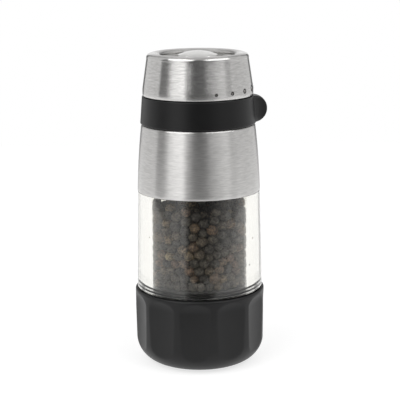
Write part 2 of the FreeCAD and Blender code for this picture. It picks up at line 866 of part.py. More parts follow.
def make_adjust_ring():
    made = body("setting_band")
    edge = 0.5
    turn(
        made,
        "ring_band",
        [
            ("ring_bore + 0.2", "ring_low_z"),
            (f"ring_low_r - {edge}", "ring_low_z", edge),
            ("ring_low_r", f"ring_low_z + {edge}"),
            ("ring_high_r", f"ring_high_z - {edge}", edge),
            (f"ring_high_r - {edge}", "ring_high_z"),
            ("ring_bore + 0.2", "ring_high_z"),
            ("ring_bore", "ring_high_z - 0.2"),
            ("ring_bore", "ring_low_z + 0.2"),
        ],
    )
    # Five click notches in the bore, one under each dot
    notch = sketch_on(made, "notch_outline", "XY_Plane", "ring_low_z - 0.1")
    circle(notch, "ring_bore + 0.05", "0", "0.7")
    cut = push(made, "Pocket", notch, "notch", "3", reverse=True)
    pattern = made.newObject("PartDesign::PolarPattern", "notches")
    pattern.Originals = [cut]
    pattern.Axis = (origin_part(made, "Z_Axis"), [""])
    drive(pattern, "Angle", "4 * dot_pitch")
    pattern.Occurrences = 5
    finish_feature(made, pattern)
    # Three cam grooves climb to the left, and carry the pins up as the ring turns right
    cam = sketch_on(made, "cam_section", swing=-number("cam_margin"))
    half = "pin_r + pin_play"
    start_z = "cam_z - cam_rise * cam_margin / cam_sweep"
    box_outline(cam, "ring_bore - 1", f"{start_z} - ({half})", "cam_depth_r", f"{start_z} + {half}")
    before = made.Shape.Volume
    groove = made.newObject("PartDesign::SubtractiveHelix", "cam_groove")
    groove.Profile = cam
    groove.ReferenceAxis = (cam, ["V_Axis"])
    groove.Mode = "height-turns-angle"
    drive(groove, "Height", "cam_rise * (cam_sweep + 2 * cam_margin) / cam_sweep")
    drive(groove, "Turns", "(cam_sweep + 2 * cam_margin) / 360")
    finish_feature(made, groove)
    if made.Shape.Volume >= before - 1:
        raise RuntimeError("the cam groove cuts nothing")
    repeat(made, groove, "3")
    ring = doc.addObject("Part::Fuse", "adjust_ring")
    ring.Base = made
    ring.Tool = make_setting_tab()
    ring.Label = "adjust_ring"
    doc.recompute()
    keep(ring)


def make_burr_carrier():
    made = turned(
        "burr_carrier",
        [
            ("carrier_in_r", "carrier_low_z"),
            ("carrier_r", "carrier_low_z"),
            ("carrier_r", "carrier_high_z"),
            ("burr_exit_r + 0.5", "carrier_high_z"),
            ("burr_exit_r + 0.5", "burr_high_z + 0.1"),
            ("carrier_in_r", "burr_high_z + 0.1"),
            ("carrier_in_r", "burr_low_z - 0.1"),
            ("carrier_in_r + 0.8", "burr_low_z - 0.1"),
            ("carrier_in_r + 0.8", "burr_low_z - 0.8"),
            ("carrier_in_r", "burr_low_z - 0.8"),
        ],
    )
    key = sketch_on(made, "key_slot_outline", "XY_Plane", "carrier_low_z - 0.1")
    box_outline(key, "carrier_in_r - 1", "-1.6", "carrier_in_r + 1", "1.6")
    repeat(made, push(made, "Pocket", key, "key_slot", "burr_low_z + 6 - carrier_low_z", reverse=True), "3")
    bore = sketch_on(made, "pin_hole_outline", "YZ_Plane", "carrier_in_r - 1")
    circle(bore, "0", "cam_z", "pin_r")
    repeat(made, push(made, "Pocket", bore, "pin_hole", "6", reverse=True), "3")
    keep(made)


def make_cam_pins():
    pins = []
    for turn_number in range(3):
        azimuth = math.radians(120 * turn_number)
        outward = FreeCAD.Vector(math.cos(azimuth), math.sin(azimuth), 0)
        pin = doc.addObject("Part::Cylinder", f"cam_pin_{turn_number}")
        drive(pin, "Radius", "pin_r")
        drive(pin, "Height", "cam_depth_r - carrier_in_r - 0.35")
        foot = outward * (number("carrier_in_r") + 0.1)
        foot.z = number("cam_z")
        pin.Placement = FreeCAD.Placement(foot, FreeCAD.Rotation(FreeCAD.Vector(0, 0, 1), outward))
        pins.append(pin)
    group = doc.addObject("Part::Compound", "cam_pins")
    group.Links = pins
    group.Label = "cam_pins"
    doc.recompute()
    keep(group)


def tooth_notches(owner, name, count, inner, outer, half_width, base_z, length, downwards, point_out=False):
    """Upright V notches in a burr.  The V's point is on the inner radius, or with point_out on the outer."""
    sketch = sketch_on(owner, f"{name}_outline", "XY_Plane", base_z)
    tip, mouth = (outer, inner) if point_out else (inner, outer)
    corners = [(tip, "0"), (mouth, f"-({half_width})"), (mouth, half_width)]
    outline(sketch, corners)
    repeat(owner, push(owner, "Pocket", sketch, name, length, reverse=not downwards), count)


def make_inner_burr():
    made = turned(
        "inner_burr",
        [
            ("0", "burr_low_z - 0.5"),
            ("6.5", "burr_low_z - 0.5"),
            ("band_in_r", "band_z"),
            ("band_in_r + band_slope * (burr_high_z - 0.5 - band_z)", "burr_high_z - 0.5"),
            ("0", "burr_high_z - 0.5"),
        ],
    )
    square_hole(made, "burr_square", "shaft_flat + 0.1", "burr_low_z - 1", "burr_high_z - burr_low_z + 1")
    feed_height = "band_z - burr_low_z - 1"
    tooth_notches(made, "feed_notch", "6", "7.4", "14.5", "3.2", "burr_low_z - 0.6", feed_height, False)
    tooth_notches(made, "fine_notch", "36", "13.4", "15.6", "1.1", "burr_high_z", "5", True)
    keep(made)


def make_outer_burr():
    made = turned(
        "outer_burr",
        [
            ("16.9", "burr_low_z"),
            ("carrier_in_r - 0.1", "burr_low_z"),
            ("carrier_in_r - 0.1", "burr_high_z"),
            ("band_in_r + coarse_gap + band_slope * (burr_high_z - band_z)", "burr_high_z"),
            ("band_in_r + coarse_gap", "band_z"),
        ],
    )
    lug = sketch_on(made, "lug_outline", "XY_Plane", "burr_low_z")
    box_outline(lug, "carrier_in_r - 1", "-1.5", "carrier_in_r + 0.9", "1.5")
    repeat(made, push(made, "Pad", lug, "lug", "5.5"), "3")
    low, high = "burr_low_z - 0.1", "burr_high_z + 0.1"
    tooth_notches(made, "ring_feed_notch", "12", "13.2", "17.6", "1.9", low, "8", False, True)
    tooth_notches(made, "ring_fine_notch", "36", "14.2", "16.7", "1.1", high, "3.2", True, True)
    keep(made)


def make_burr_clip():
    """Spring ring that holds the burr ring in its carrier."""
    made = body("burr_clip")
    sketch = sketch_on(made, "burr_clip_section")
    box_outline(sketch, "17.4", "burr_low_z - 0.7", "carrier_in_r + 0.7", "burr_low_z - 0.15")
    spin(made, "burr_clip_turned", sketch, angle=340)
    keep(made)


# ---------------------------------------------------------------- rotor


def make_drive_shaft():
    made = body("drive_shaft")
    square = sketch_on(made, "shaft_square", "XY_Plane", "shaft_low_z")
    half = "shaft_flat / 2"
    box_outline(square, f"-{half}", f"-{half}", half, half)
    push(made, "Pad", square, "shaft_bar", "shaft_step_z - shaft_low_z")
    thread = sketch_on(made, "shaft_round", "XY_Plane", "shaft_step_z - 1")
    circle(thread, "0", "0", "thread_r")
    push(made, "Pad", thread, "shaft_thread", "shaft_high_z - shaft_step_z + 1")
    turn(
        made,
        "shaft_point",
        [
            ("3.2", "shaft_low_z - 0.1"),
            ("6", "shaft_low_z - 0.1"),
            ("6", "shaft_low_z + 1.6"),
            ("4.3", "shaft_low_z + 1.6"),
        ],
        "PartDesign::Groove",
    )
    turn(
        made,
        "clip_groove",
        [
            ("clip_in_r", "clip_z - 0.5"),
            ("shaft_flat", "clip_z - 0.5"),
            ("shaft_flat", "clip_z + 0.5"),
            ("clip_in_r", "clip_z + 0.5"),
        ],
        "PartDesign::Groove",
    )
    keep(made)


def make_shaft_clip():
    made = body("shaft_clip")
    sketch = sketch_on(made, "shaft_clip_section")
    box_outline(sketch, "clip_in_r + 0.05", "clip_z - 0.4", "clip_in_r + 3.2", "clip_z + 0.4")
    spin(made, "shaft_clip_turned", sketch, angle=290)
    keep(made)


def make_feed_auger():
    """Feeder that runs in the bush and pushes peppercorns up into the burr."""
    made = turned(
        "feed_auger",
        [
            ("0", "auger_low_z"),
            ("auger_r", "auger_low_z"),
            ("auger_r", "burr_low_z - 0.6"),
            ("0", "burr_low_z - 0.6"),
        ],
    )
    blade = sketch_on(made, "blade_section", "YZ_Plane", "auger_r - 1")
    low, high = "ledge_z + 0.8", "ledge_z + 4.4"
    outline(blade, [("-2.6", low), ("-1.4", low), ("2.6", high), ("1.4", high)])
    repeat(made, push(made, "Pad", blade, "blade", "9.5"), "3")
    square_hole(made, "auger_square", "shaft_flat + 0.1", "auger_low_z - 0.9", "13")
    keep(made)


def make_burr_washer():
    keep(
        turned(
            "burr_washer",
            [
                ("thread_r + 0.1", "shaft_step_z"),
                ("7.5", "shaft_step_z"),
                ("7.5", "shaft_step_z + 0.8"),
                ("thread_r + 0.1", "shaft_step_z + 0.8"),
            ],
        )
    )


def make_lock_nut():
    made = body("lock_nut")
    sketch = sketch_on(made, "nut_outline", "XY_Plane", "shaft_step_z + 0.8")
    flat_to_corner = 4.6
    outline(
        sketch,
        [
            (f"{flat_to_corner} * cos({60 * corner})", f"{flat_to_corner} * sin({60 * corner})")
            for corner in range(6)
        ],
    )
    circle(sketch, "0", "0", "thread_r + 0.05")
    push(made, "Pad", sketch, "nut_block", "4")
    keep(made)


def make_dome_stem():
    """Flared plastic stem that screws onto the shaft's end and carries the dome."""
    keep(
        turned(
            "dome_stem",
            [
                ("thread_r + 0.05", "shaft_step_z + 5"),
                ("stem_r", "shaft_step_z + 5"),
                ("stem_r", "stem_flare_z - 8.4"),
                ("stem_flare_r", "stem_flare_z"),
                ("stem_flare_r", "dome_edge_z - 0.1"),
                ("stem_flare_r - 1", "dome_edge_z + 0.5"),
                ("0", "dome_edge_z + 0.5"),
                ("0", "shaft_high_z + 0.2"),
                ("thread_r + 0.05", "shaft_high_z + 0.2"),
            ],
        )
    )


def round_top(half_width, rise):
    """Radius of the arc that crowns this half width by this rise."""
    return f"(({half_width})^2 + ({rise})^2) / (2 * ({rise}))"


def make_centre_dome():
    """Polished cap pressed over the stem."""
    outer_r = round_top("dome_r - 0.6", "dome_top_z - dome_edge_z - 0.65")
    inner_r = round_top("stem_flare_r - 0.1", "dome_top_z - 0.7 - dome_edge_z - 0.2")
    keep(
        turned(
            "centre_dome",
            [
                ("stem_flare_r + 0.05", "stem_flare_z + 0.5"),
                ("dome_r - 0.15", "stem_flare_z + 0.5"),
                ("dome_r", "stem_flare_z + 0.7"),
                ("dome_r", "dome_edge_z", "0.7"),
                ("dome_r - 0.6", "dome_edge_z + 0.65", outer_r),
                ("0", "dome_top_z"),
                ("0", "dome_top_z - 0.7", f"-({inner_r})"),
                ("stem_flare_r - 0.1", "dome_edge_z + 0.2"),
                ("stem_flare_r + 0.05", "dome_edge_z - 0.2"),
            ],
        )
    )


MAKERS = [
    make_grip_sleeve,
    make_base_core,
    make_floor_plate,
    make_foot_pad,
    make_drive_hub,
    make_base_seal,
    make_glide_ring,
    make_pepper_jar,
    make_jar_gasket,
    make_steel_skirt,
    make_head_frame,
    make_bearing_plate,
    make_shaft_bush,
    make_click_spring,
    make_outlet_core,
    make_outlet_dish,
    make_steel_cap,
    make_adjust_ring,
    make_burr_carrier,
    make_cam_pins,
    make_inner_burr,
    make_outer_burr,
    make_burr_clip,
    make_drive_shaft,
    make_shaft_clip,
    make_feed_auger,
    make_burr_washer,
    make_lock_nut,
    make_dome_stem,
    make_centre_dome,
]

for maker in MAKERS:
    maker()

screws("hub_screws", "hub_screw_ring", "hub_flange_z", "1.25", "7.2", "2.3", "1.5", upwards=True)
screws("cap_screws", "cap_screw_ring", "core_floor_z", "1.25", "5.2", "2.2", "1.4", upwards=False)
coil("burr_spring", "19.65", "0.45", "ledge_z", "carrier_low_z", 2.5)

doc.recompute()
for thing in doc.Objects:
    if "Invalid" in thing.State or "Error" in thing.State:
        raise RuntimeError(f"{thing.Name} did not recompute: {thing.State}")

os.makedirs("parts", exist_ok=True)
for node in NODES:
    if node.Shape.isNull() or not node.Shape.isValid():
        raise RuntimeError(f"{node.Label} has no valid shape")
    node.Shape.exportStep(f"parts/{node.Label}.step")
    print(f"{node.Label}: {len(node.Shape.Solids)} solid(s), {node.Shape.Volume:.1f} mm3")
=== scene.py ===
import json
import math

import bmesh
import bpy
import numpy as np
from mathutils import Euler, Matrix, Vector, noise


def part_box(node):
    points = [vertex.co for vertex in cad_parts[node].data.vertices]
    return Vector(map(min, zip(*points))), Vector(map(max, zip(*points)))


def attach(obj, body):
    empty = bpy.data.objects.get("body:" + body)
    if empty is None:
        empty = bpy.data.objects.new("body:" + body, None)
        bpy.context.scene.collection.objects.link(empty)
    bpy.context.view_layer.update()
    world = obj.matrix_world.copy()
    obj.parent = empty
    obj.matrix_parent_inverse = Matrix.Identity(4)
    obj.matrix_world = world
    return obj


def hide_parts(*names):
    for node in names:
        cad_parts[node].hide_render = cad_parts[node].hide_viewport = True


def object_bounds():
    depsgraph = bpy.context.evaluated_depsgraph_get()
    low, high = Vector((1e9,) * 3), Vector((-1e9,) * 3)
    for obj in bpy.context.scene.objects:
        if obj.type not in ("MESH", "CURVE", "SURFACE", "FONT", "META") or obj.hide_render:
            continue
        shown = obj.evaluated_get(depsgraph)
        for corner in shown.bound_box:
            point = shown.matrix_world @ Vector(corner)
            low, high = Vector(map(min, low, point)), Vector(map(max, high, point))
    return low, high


# The looks of a hand pepper mill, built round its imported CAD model.  Outlines are in millimetres, as (radius,
# height) from the mill's axis and the table; everything in the scene is in metres.

MM = 0.001
ROUND_STEPS = 256  # facets round the turned pieces

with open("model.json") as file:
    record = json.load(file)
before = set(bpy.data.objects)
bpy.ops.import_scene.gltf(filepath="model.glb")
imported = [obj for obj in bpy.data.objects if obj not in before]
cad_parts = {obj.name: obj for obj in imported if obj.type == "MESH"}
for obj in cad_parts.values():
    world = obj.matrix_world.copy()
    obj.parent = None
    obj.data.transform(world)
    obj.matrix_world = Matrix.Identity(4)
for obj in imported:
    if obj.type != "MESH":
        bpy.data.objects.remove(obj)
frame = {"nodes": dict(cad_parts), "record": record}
cad_low, cad_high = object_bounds()


def top_of(node):
    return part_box(node)[1].z / MM


def bottom_of(node):
    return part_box(node)[0].z / MM


def radius_of(node):
    """The node's radius, from its width along Y, which the setting tab doesn't widen."""
    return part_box(node)[1].y / MM


# ---------------------------------------------------------------- node materials


class Tree:
    """A short way to write a node tree."""

    def __init__(self, tree):
        self.tree = tree

    def add(self, kind, values=None, links=None, **settings):
        node = self.tree.nodes.new(kind)
        for key, value in settings.items():
            setattr(node, key, value)
        for socket, value in (values or {}).items():
            node.inputs[socket].default_value = value
        for socket, source in (links or {}).items():
            self.tree.links.new(source, node.inputs[socket])
        return node

    def math(self, operation, first, second=0.0):
        node = self.tree.nodes.new("ShaderNodeMath")
        node.operation = operation
        for index, value in enumerate((first, second)):
            if isinstance(value, (int, float)):
                node.inputs[index].default_value = value
            else:
                self.tree.links.new(value, node.inputs[index])
        return node.outputs[0]

    def ramp(self, factor, stops):
        """The factor, from 0 to 1, mapped through stops of (place, colour or grey)."""
        node = self.add("ShaderNodeValToRGB", links={"Fac": factor})
        while len(node.color_ramp.elements) < len(stops):
            node.color_ramp.elements.new(0.5)
        for element, (place, colour) in zip(node.color_ramp.elements, stops):
            element.position = place
            element.color = (*colour, 1) if isinstance(colour, tuple) else (colour, colour, colour, 1)
        return node.outputs["Color"]


class Nodes(Tree):
    """A material's node tree, round its own shader."""

    def __init__(self, name):
        self.material = bpy.data.materials.new(name)
        self.material.use_nodes = True
        super().__init__(self.material.node_tree)
        self.shader = self.tree.nodes["Principled BSDF"]
        self.coordinates = self.add("ShaderNodeTexCoord")

    def span(self, factor, low, high):
        """The factor, from 0 to 1, mapped to a span of values."""
        node = self.add("ShaderNodeMapRange", links={"Value": factor})
        node.inputs["To Min"].default_value = low
        node.inputs["To Max"].default_value = high
        return node.outputs["Result"]

    def set(self, **values):
        """Sets the shader's own sockets; a name's underscores stand for spaces."""
        for key, value in values.items():
            socket = self.shader.inputs[key.replace("_", " ")]
            if isinstance(value, bpy.types.NodeSocket):
                self.tree.links.new(value, socket)
            elif socket.type == "RGBA":
                socket.default_value = (*value, 1)
            else:
                socket.default_value = value
        return self

    def noise(self, scale, detail=4.0, roughness=0.55, vector=None):
        links = {"Vector": vector or self.place()}
        values = {"Scale": scale, "Detail": detail, "Roughness": roughness}
        return self.add("ShaderNodeTexNoise", values, links).outputs["Fac"]

    def place(self):
        """Coordinates in the piece's own frame, which is the mill's frame, in metres."""
        return self.coordinates.outputs["Object"]

    def bump(self, height, strength, distance):
        values = {"Strength": strength, "Distance": distance}
        return self.add("ShaderNodeBump", values, {"Height": height}).outputs["Normal"]


def turning_place(nodes, fineness, around):
    """Coordinates for marks left by turning: fine steps of radius and height, long runs round the axis."""
    split = nodes.add("ShaderNodeSeparateXYZ", links={"Vector": nodes.place()})
    x, y, z = (split.outputs[axis] for axis in "XYZ")
    squares = nodes.math("ADD", nodes.math("MULTIPLY", x, x), nodes.math("MULTIPLY", y, y))
    join = nodes.add(
        "ShaderNodeCombineXYZ",
        links={
            "X": nodes.math("MULTIPLY", nodes.math("SQRT", squares), fineness),
            "Y": nodes.math("MULTIPLY", z, fineness),
            "Z": nodes.math("MULTIPLY", nodes.math("ARCTAN2", y, x), around),
        },
    )
    return join.outputs["Vector"]


def brushed_steel(name, colour, roughness, brushing=1.0, anisotropy=0.95):
    """Steel brushed round the axis: fine hairs over broader lines, slightly duller in patches."""
    nodes = Nodes(name)
    hair = nodes.noise(1.0, 3.0, 0.6, turning_place(nodes, 5200, 9.0))
    line = nodes.noise(1.0, 2.0, 0.5, turning_place(nodes, 1500, 7.0))
    patch = nodes.noise(55.0, 2.0)
    grain = nodes.math("ADD", nodes.math("MULTIPLY", hair, 0.5), nodes.math("MULTIPLY", line, 0.5))
    dull = tuple(c * (1 - 0.14 * brushing) for c in colour)
    keen = tuple(min(c * (1 + 0.12 * brushing), 1) for c in colour)
    uneven = nodes.math("ADD", nodes.math("MULTIPLY", grain, 0.7), nodes.math("MULTIPLY", patch, 0.3))
    tangent = nodes.add("ShaderNodeTangent", direction_type="RADIAL", axis="Z")
    nodes.set(
        Base_Color=nodes.ramp(grain, [(0.36, dull), (0.64, keen)]),
        Metallic=1.0,
        Roughness=nodes.span(uneven, roughness - 0.06, roughness + 0.07),
        Anisotropic=anisotropy,
        Anisotropic_Rotation=0.25,  # a quarter turn: the blur runs up the wall
        Tangent=tangent.outputs["Tangent"],
        Normal=nodes.bump(grain, 0.20 * brushing, 0.00004),
    )
    return nodes.material


def soft_black(name, colour, roughness, grain_size=0.00035, strength=0.25, specular=0.35):
    """Soft-touch rubber or matte moulding: a fine eroded grain, cloudy in tone and shinier in places."""
    nodes = Nodes(name)
    grain = nodes.noise(1 / grain_size, 2.0, 0.6)
    cloud = nodes.noise(38.0, 3.0)
    smear = nodes.noise(160.0, 2.0)
    mix = nodes.math("ADD", nodes.math("MULTIPLY", cloud, 0.6), nodes.math("MULTIPLY", smear, 0.4))
    dark = tuple(c * 0.82 for c in colour)
    light = tuple(c * 1.22 for c in colour)
    nodes.set(
        Base_Color=nodes.ramp(mix, [(0.3, dark), (0.7, light)]),
        Roughness=nodes.span(mix, roughness - 0.07, roughness + 0.08),
        Specular_IOR_Level=specular,
        Normal=nodes.bump(grain, strength, 0.00003),
    )
    return nodes.material


def clear_acrylic():
    """Thick clear plastic, very slightly warm in the body, with faint draw lines up the wall."""
    nodes = Nodes("clear_acrylic")
    split = nodes.add("ShaderNodeSeparateXYZ", links={"Vector": nodes.place()})
    angle = nodes.math("ARCTAN2", split.outputs["Y"], split.outputs["X"])
    around = nodes.math("MULTIPLY", angle, 7.0)
    up = nodes.math("MULTIPLY", split.outputs["Z"], 6.0)
    wall = nodes.add("ShaderNodeCombineXYZ", links={"X": around, "Y": up})
    draw = nodes.noise(1.0, 2.0, 0.5, wall.outputs["Vector"])
    dust = nodes.noise(900.0, 2.0)
    nodes.set(
        Base_Color=(0.90, 0.893, 0.85),
        Roughness=nodes.span(dust, 0.0, 0.03),
        IOR=1.49,
        Transmission_Weight=1.0,
        Normal=nodes.bump(draw, 0.12, 0.0004),
    )
    return nodes.material


def peppercorn_skin():
    """Dried pepper: mostly dark grey-brown, some redder or paler; with painted light on the ridges and painted
    shade in the folds.
    """
    nodes = Nodes("peppercorn_skin")
    corn = nodes.add("ShaderNodeNewGeometry").outputs["Random Per Island"]
    tone = nodes.ramp(
        corn,
        [
            (0.0, (0.062, 0.056, 0.050)),
            (0.35, (0.092, 0.081, 0.068)),
            (0.60, (0.122, 0.104, 0.082)),
            (0.78, (0.155, 0.124, 0.092)),
            (0.88, (0.190, 0.122, 0.084)),
            (0.96, (0.230, 0.200, 0.120)),
            (1.0, (0.380, 0.270, 0.160)),
        ],
    )
    folds = nodes.noise(1150.0, 5.0, 0.66)
    specks = nodes.noise(4200.0, 3.0, 0.6)
    # Painted shade and light: the colour is multiplied down to 0.22 in the folds and up to 1.75 on the ridges
    # of the same noise that raises the bump.
    painted_relief_shading = nodes.ramp(folds, [(0.38, 0.22), (0.50, 0.80), (0.62, 1.75)])
    tone_and_painted_shading = nodes.add("ShaderNodeMix", {"Factor": 1.0}, data_type="RGBA", blend_type="MULTIPLY")
    nodes.tree.links.new(tone, tone_and_painted_shading.inputs[6])
    nodes.tree.links.new(painted_relief_shading, tone_and_painted_shading.inputs[7])
    rough = nodes.math("ADD", nodes.math("MULTIPLY", folds, 0.6), nodes.math("MULTIPLY", specks, 0.4))
    nodes.set(
        Base_Color=tone_and_painted_shading.outputs[2],
        Roughness=nodes.span(rough, 0.48, 0.78),
        Normal=nodes.bump(rough, 0.55, 0.00022),
    )
    return nodes.material


def ceramic():
    """Fired burr ceramic: off-white, gritty, with faint stains."""
    nodes = Nodes("burr_ceramic")
    grit = nodes.noise(2500.0, 4.0, 0.6)
    stain = nodes.noise(120.0, 3.0)
    nodes.set(
        Base_Color=nodes.ramp(stain, [(0.35, (0.74, 0.71, 0.64)), (0.65, (0.86, 0.85, 0.80))]),
        Roughness=nodes.span(grit, 0.45, 0.7),
        Normal=nodes.bump(grit, 0.3, 0.00004),
    )
    return nodes.material


def dot_paint():
    """Enamel of a dot's face: brownish grey, slightly pitted; its light tone is partly the enamel's own and
    partly painted light for the light caught at the dot's centre.
    """
    nodes = Nodes("dot_paint")
    pits = nodes.noise(3000.0, 3.0)
    # Partly painted light: the face's grey is lighter than the black-brown of the dot itself, for the light
    # that its centre catches.
    nodes.set(
        Base_Color=nodes.ramp(pits, [(0.3, (0.16, 0.14, 0.12)), (0.7, (0.30, 0.28, 0.25))]),
        Roughness=nodes.span(pits, 0.3, 0.5),
        Normal=nodes.bump(pits, 0.3, 0.00003),
    )
    return nodes.material


def dot_shadow_rim():
    """The edge round each dot, painted near-black as the shadow in the gap round the dot."""
    nodes = Nodes("dot_shadow_rim")
    pits = nodes.noise(2600.0, 3.0)
    nodes.set(
        # Painted shadow: near-black stands in for the shade in the gap round the dot.
        Base_Color=nodes.ramp(pits, [(0.3, (0.006, 0.005, 0.005)), (0.7, (0.014, 0.012, 0.011))]),
        Roughness=nodes.span(pits, 0.5, 0.7),
        Specular_IOR_Level=0.3,
    )
    return nodes.material


def light_table():
    """A frosted white sheet, softly lit from below so that shadows stay faint."""
    nodes = Nodes("light_table")
    mottle = nodes.noise(9.0, 3.0)
    nodes.set(
        Base_Color=nodes.ramp(mottle, [(0.3, (0.36, 0.36, 0.36)), (0.7, (0.40, 0.40, 0.40))]),
        Roughness=0.9,
        Specular_IOR_Level=0.1,
        Emission_Color=(1.0, 1.0, 1.0),
        Emission_Strength=0.72,
    )
    return nodes.material


# ---------------------------------------------------------------- mesh helpers


def arc_points(start, end, radius, steps):
    """Points after start, up to end, along the short arc; a positive radius turns left on the way."""
    start, end = Vector(start), Vector(end)
    across = end - start
    middle = (start + end) / 2
    left = Vector((-across.y, across.x)).normalized()
    height = math.sqrt(max(radius * radius - across.length_squared / 4, 0))
    centre = middle + left * math.copysign(height, radius)
    first = math.atan2(*(start - centre).yx)
    last = math.atan2(*(end - centre).yx)
    sweep = (last - first + math.pi) % (2 * math.pi) - math.pi
    return [
        (
            centre.x + abs(radius) * math.cos(first + sweep * step / steps),
            centre.y + abs(radius) * math.sin(first + sweep * step / steps),
        )
        for step in range(1, steps + 1)
    ]


def softened(corners, steps):
    """A closed outline with rounded corners, each given as (radius, height, rounding).  A point close beside
    each rounding keeps the shading of the long walls flat."""
    count = len(corners)
    out = []
    for at, (radius, height, blunt) in enumerate(corners):
        here = Vector((radius, height))
        if blunt <= 0:
            out.append(tuple(here))
            continue
        to_before = Vector(corners[at - 1][:2]) - here
        to_after = Vector(corners[(at + 1) % count][:2]) - here
        reach = min(blunt, to_before.length * 0.45, to_after.length * 0.45)
        lead = min(0.06, to_before.length * 0.04, to_after.length * 0.04)
        start = here + to_before.normalized() * reach
        end = here + to_after.normalized() * reach
        out.append(tuple(start + to_before.normalized() * lead))
        for step in range(steps + 1):
            share = step / steps
            point = start * (1 - share) ** 2 + here * 2 * share * (1 - share) + end * share**2
            out.append(tuple(point))
        out.append(tuple(end + to_after.normalized() * lead))
    return out


def mesh_piece(name, points, faces, material, sharp=35):
    """A smooth-shaded mesh object, whose edges bent by more than sharp degrees stay hard."""
    data = bpy.data.meshes.new(name)
    data.from_pydata([tuple(p) for p in points], [], faces)
    data.validate()
    made = bpy.data.objects.new(name, data)
    bpy.context.scene.collection.objects.link(made)
    tidy_mesh(made, sharp)
    data.materials.append(material)
    return made


def tidy_mesh(made, sharp):
    """Joins double points, turns the faces outwards and marks the hard edges."""
    shape = bmesh.new()
    shape.from_mesh(made.data)
    bmesh.ops.remove_doubles(shape, verts=shape.verts, dist=1e-7)
    bmesh.ops.recalc_face_normals(shape, faces=shape.faces)
    for face in shape.faces:
        face.smooth = True
    for edge in shape.edges:
        edge.smooth = len(edge.link_faces) != 2 or edge.calc_face_angle(0) < math.radians(sharp)
    shape.to_mesh(made.data)
    shape.free()


def lathe(name, outline, material, sharp=35):
    """Spins a closed (radius, height) outline, in millimetres, about the mill's axis."""
    count = len(outline)
    points = []
    for step in range(ROUND_STEPS):
        angle = 2 * math.pi * step / ROUND_STEPS
        c, s = math.cos(angle), math.sin(angle)
        points += [(r * c * MM, r * s * MM, z * MM) for r, z in outline]
    faces = []
    for step in range(ROUND_STEPS):
        here, there = step * count, ((step + 1) % ROUND_STEPS) * count
        for at in range(count):
            after = (at + 1) % count
            if outline[at][0] < 1e-6 and outline[after][0] < 1e-6:
                continue
            faces.append((here + at, there + at, there + after, here + after))
    return mesh_piece(name, points, faces, material, sharp)


def stand_in(piece, node, body):
    """Shows the piece in place of a CAD node, on the same body."""
    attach(piece, body)
    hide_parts(node)


def apply_modifiers(made):
    """Bakes the object's modifiers into its mesh."""
    bpy.context.view_layer.update()
    graph = bpy.context.evaluated_depsgraph_get()
    baked = bpy.data.meshes.new_from_object(made.evaluated_get(graph))
    made.modifiers.clear()
    made.data = baked


# ---------------------------------------------------------------- materials

MATERIALS = {
    "soft_grip": soft_black("soft_grip", (0.006, 0.006, 0.0063), 0.42, specular=0.3),
    "setting_ring": soft_black("setting_ring", (0.005, 0.005, 0.0052), 0.38, 0.0005, 0.12),
    "black_moulding": soft_black("black_moulding", (0.010, 0.010, 0.0105), 0.38, 0.0006, 0.1),
    "seal_rubber": soft_black("seal_rubber", (0.018, 0.018, 0.018), 0.6),
    "foot_rubber": soft_black("foot_rubber", (0.03, 0.03, 0.03), 0.7, 0.0003, 0.4),
    "glide_acetal": soft_black("glide_acetal", (0.012, 0.012, 0.0125), 0.3, 0.0008, 0.08),
    "hub_nylon": soft_black("hub_nylon", (0.06, 0.06, 0.064), 0.45, 0.0004, 0.15),
    "bush_acetal": soft_black("bush_acetal", (0.72, 0.71, 0.68), 0.35, 0.0008, 0.08, 0.5),
    "clear_acrylic": clear_acrylic(),
    "brushed_cap": brushed_steel("brushed_cap", (0.63, 0.622, 0.61), 0.23),
    "brushed_skirt": brushed_steel("brushed_skirt", (0.61, 0.602, 0.59), 0.31),
    "dish_steel": brushed_steel("dish_steel", (0.60, 0.595, 0.58), 0.3, 0.8, 0.6),
    "polished_dome": brushed_steel("polished_dome", (0.74, 0.735, 0.72), 0.14, 0.35, 0.3),
    "shaft_steel": brushed_steel("shaft_steel", (0.58, 0.57, 0.56), 0.3, 0.5, 0.2),
    "fastener_steel": brushed_steel("fastener_steel", (0.55, 0.55, 0.54), 0.3, 0.5, 0.2),
    "spring_steel": brushed_steel("spring_steel", (0.48, 0.48, 0.48), 0.32, 0.5, 0.2),
    "dot_paint": dot_paint(),
    "burr_ceramic": ceramic(),
    "peppercorn": peppercorn_skin(),
}

for entry in frame["record"]["subparts"]:
    node = frame["nodes"][entry["node"]]
    node.data.materials.clear()
    node.data.materials.append(MATERIALS[entry["material_slot"]])


# ---------------------------------------------------------------- visible shells


def make_skirt():
    """The steel sleeve: a long bulging wall, bent in over its top, with a rounded lower edge."""
    low, high = bottom_of("steel_skirt"), top_of("steel_skirt")
    low_r, high_r, hem_r = radius_of("steel_skirt"), 27.4, 25.4
    sheet, bulge, bend = 0.5, 350.0, 1.1
    foot = [(low_r - sheet, low + 0.12), (low_r - 0.32, low), (low_r - 0.1, low + 0.02), (low_r, low + 0.18)]
    shoulder = (high_r + 0.03, high - bend)
    outline = foot + arc_points(foot[-1], shoulder, bulge, 24)
    outline += arc_points(shoulder, (high_r - bend, high), bend * 1.03, 10)
    outline += [(hem_r, high), (hem_r, high - sheet)]
    outline += [(high_r - bend, high - sheet), (high_r - sheet, high - bend)]
    outline += arc_points(outline[-1], foot[0], -(bulge - sheet), 16)[:-1]
    shell = lathe("skirt_shell", outline, MATERIALS["brushed_skirt"])
    stand_in(shell, "steel_skirt", "head")


CAP_BEND = 3.0  # height of the cap's straight foot
CAP_SLOPE = 0.148  # how fast the cap narrows above its foot


